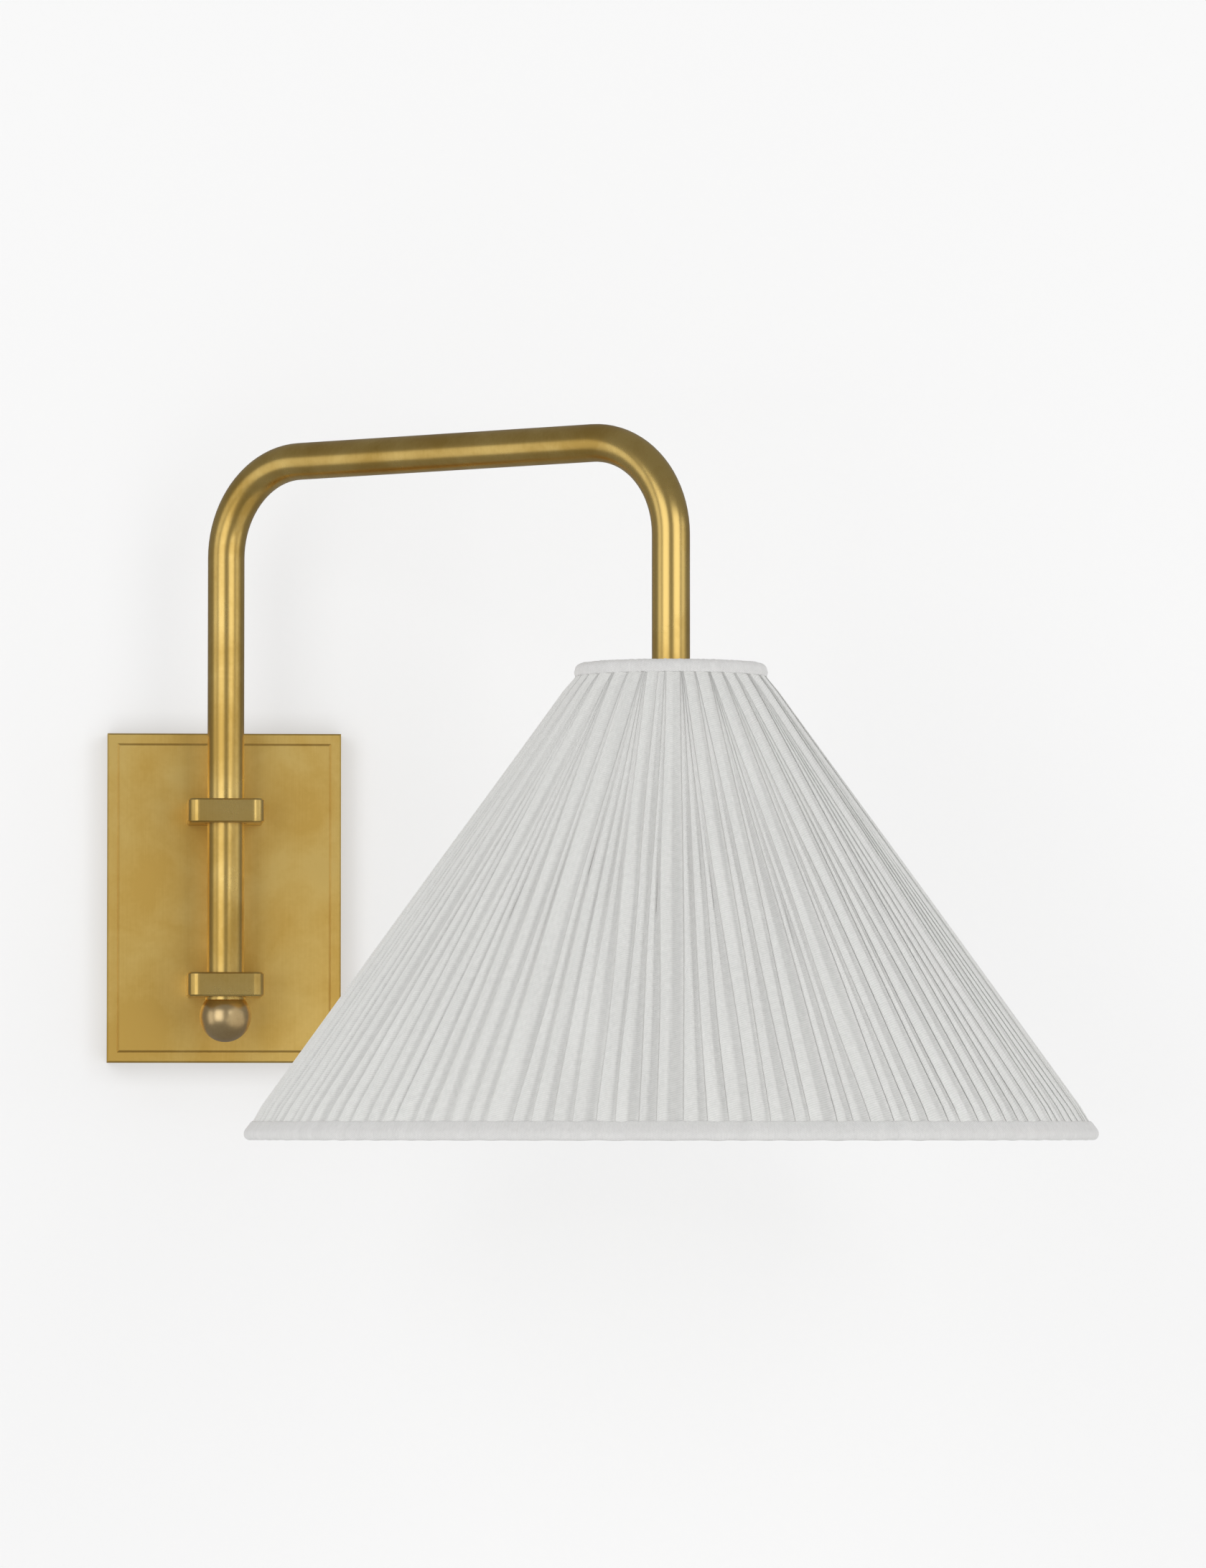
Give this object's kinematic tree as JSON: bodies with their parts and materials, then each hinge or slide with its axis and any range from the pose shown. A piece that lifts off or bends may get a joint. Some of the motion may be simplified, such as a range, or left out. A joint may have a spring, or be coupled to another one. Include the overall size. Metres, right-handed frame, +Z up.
{
  "type": "swing arm wall sconce",
  "caption": "Wall lamp on a swinging bent-tube arm: a rectangular plate with knuckles holds the arm, which carries a gathered cone shade over a screw socket.",
  "frame": {"origin": "centre of the wall plate's rear face, on the wall", "axes": "+Z up, +Y into the wall, +X to the right seen from the room"},
  "size_m": [0.4903, 0.446, 0.3591],
  "materials": {
    "aged_brass": "satin antique brass with a mottled brown patina",
    "zinc_steel": "zinc plated",
    "bronze_bush": "oiled sintered bronze",
    "silk_cover": "warm white silk, gathered into fine pleats",
    "silk_lining": "smooth white lining silk",
    "silk_binding": "bias tape of the cover's silk",
    "white_wire": "white coated wire",
    "black_plastic": "moulded phenolic",
    "black_insulation": "soft PVC",
    "white_insulation": "soft PVC",
    "green_insulation": "soft PVC",
    "orange_plastic": "moulded cap",
    "green_screw": "dyed zinc plating",
    "fibre_liner": "vulcanised fibre",
    "opal_glass": "opal white",
    "bulb_cap_metal": "plain rolled metal"
  },
  "bodies": {
    "wall_plate": {"backplate": "aged_brass", "mounting_strap": "zinc_steel", "plate_grub_screws": "zinc_steel", "ground_screw": "green_screw", "wire_nuts": "orange_plastic", "line_wire": "black_insulation", "neutral_wire": "white_insulation", "earth_wire": "green_insulation", "earth_pigtail": "green_insulation", "supply_lead": "black_insulation", "upper_knuckle": "aged_brass", "lower_knuckle": "aged_brass", "knuckle_screws": "zinc_steel", "upper_bush": "bronze_bush", "lower_bush": "bronze_bush", "swing_stop_screw": "zinc_steel"},
    "arm": {"arm_tube": "aged_brass", "arm_lead": "black_insulation", "finial_stud": "aged_brass", "finial_washer": "aged_brass", "ball_finial": "aged_brass", "drop_bushing": "aged_brass", "drop_nipple": "zinc_steel", "lock_nut": "zinc_steel", "socket_cup": "aged_brass", "socket_shell": "aged_brass", "socket_liner": "fibre_liner", "socket_block": "black_plastic", "socket_screw_shell": "aged_brass", "centre_contact": "aged_brass", "bulb_cap": "bulb_cap_metal", "bulb_globe": "opal_glass", "shade_spider": "aged_brass", "shade_top_ring": "white_wire", "shade_bottom_ring": "white_wire", "shade_ribs": "white_wire", "shade_lining": "silk_lining", "shade_cover": "silk_cover", "top_binding": "silk_binding", "bottom_binding": "silk_binding"},
    "switch": {"switch_knob": "black_plastic"}
  },
  "joints": [
    {"name": "arm_swing", "type": "hinge", "parent": "wall_plate", "child": "arm", "pos_m": [0, -0.053, 0], "axis": [0, 0, -1], "range_deg": [-4.8, 105.2]},
    {"name": "switch_turn", "type": "hinge", "parent": "arm", "child": "switch", "pos_m": [0.21742, -0.23415, 0.0659], "axis": [0.7683, -0.6401, 0], "continuous": true}
  ]
}
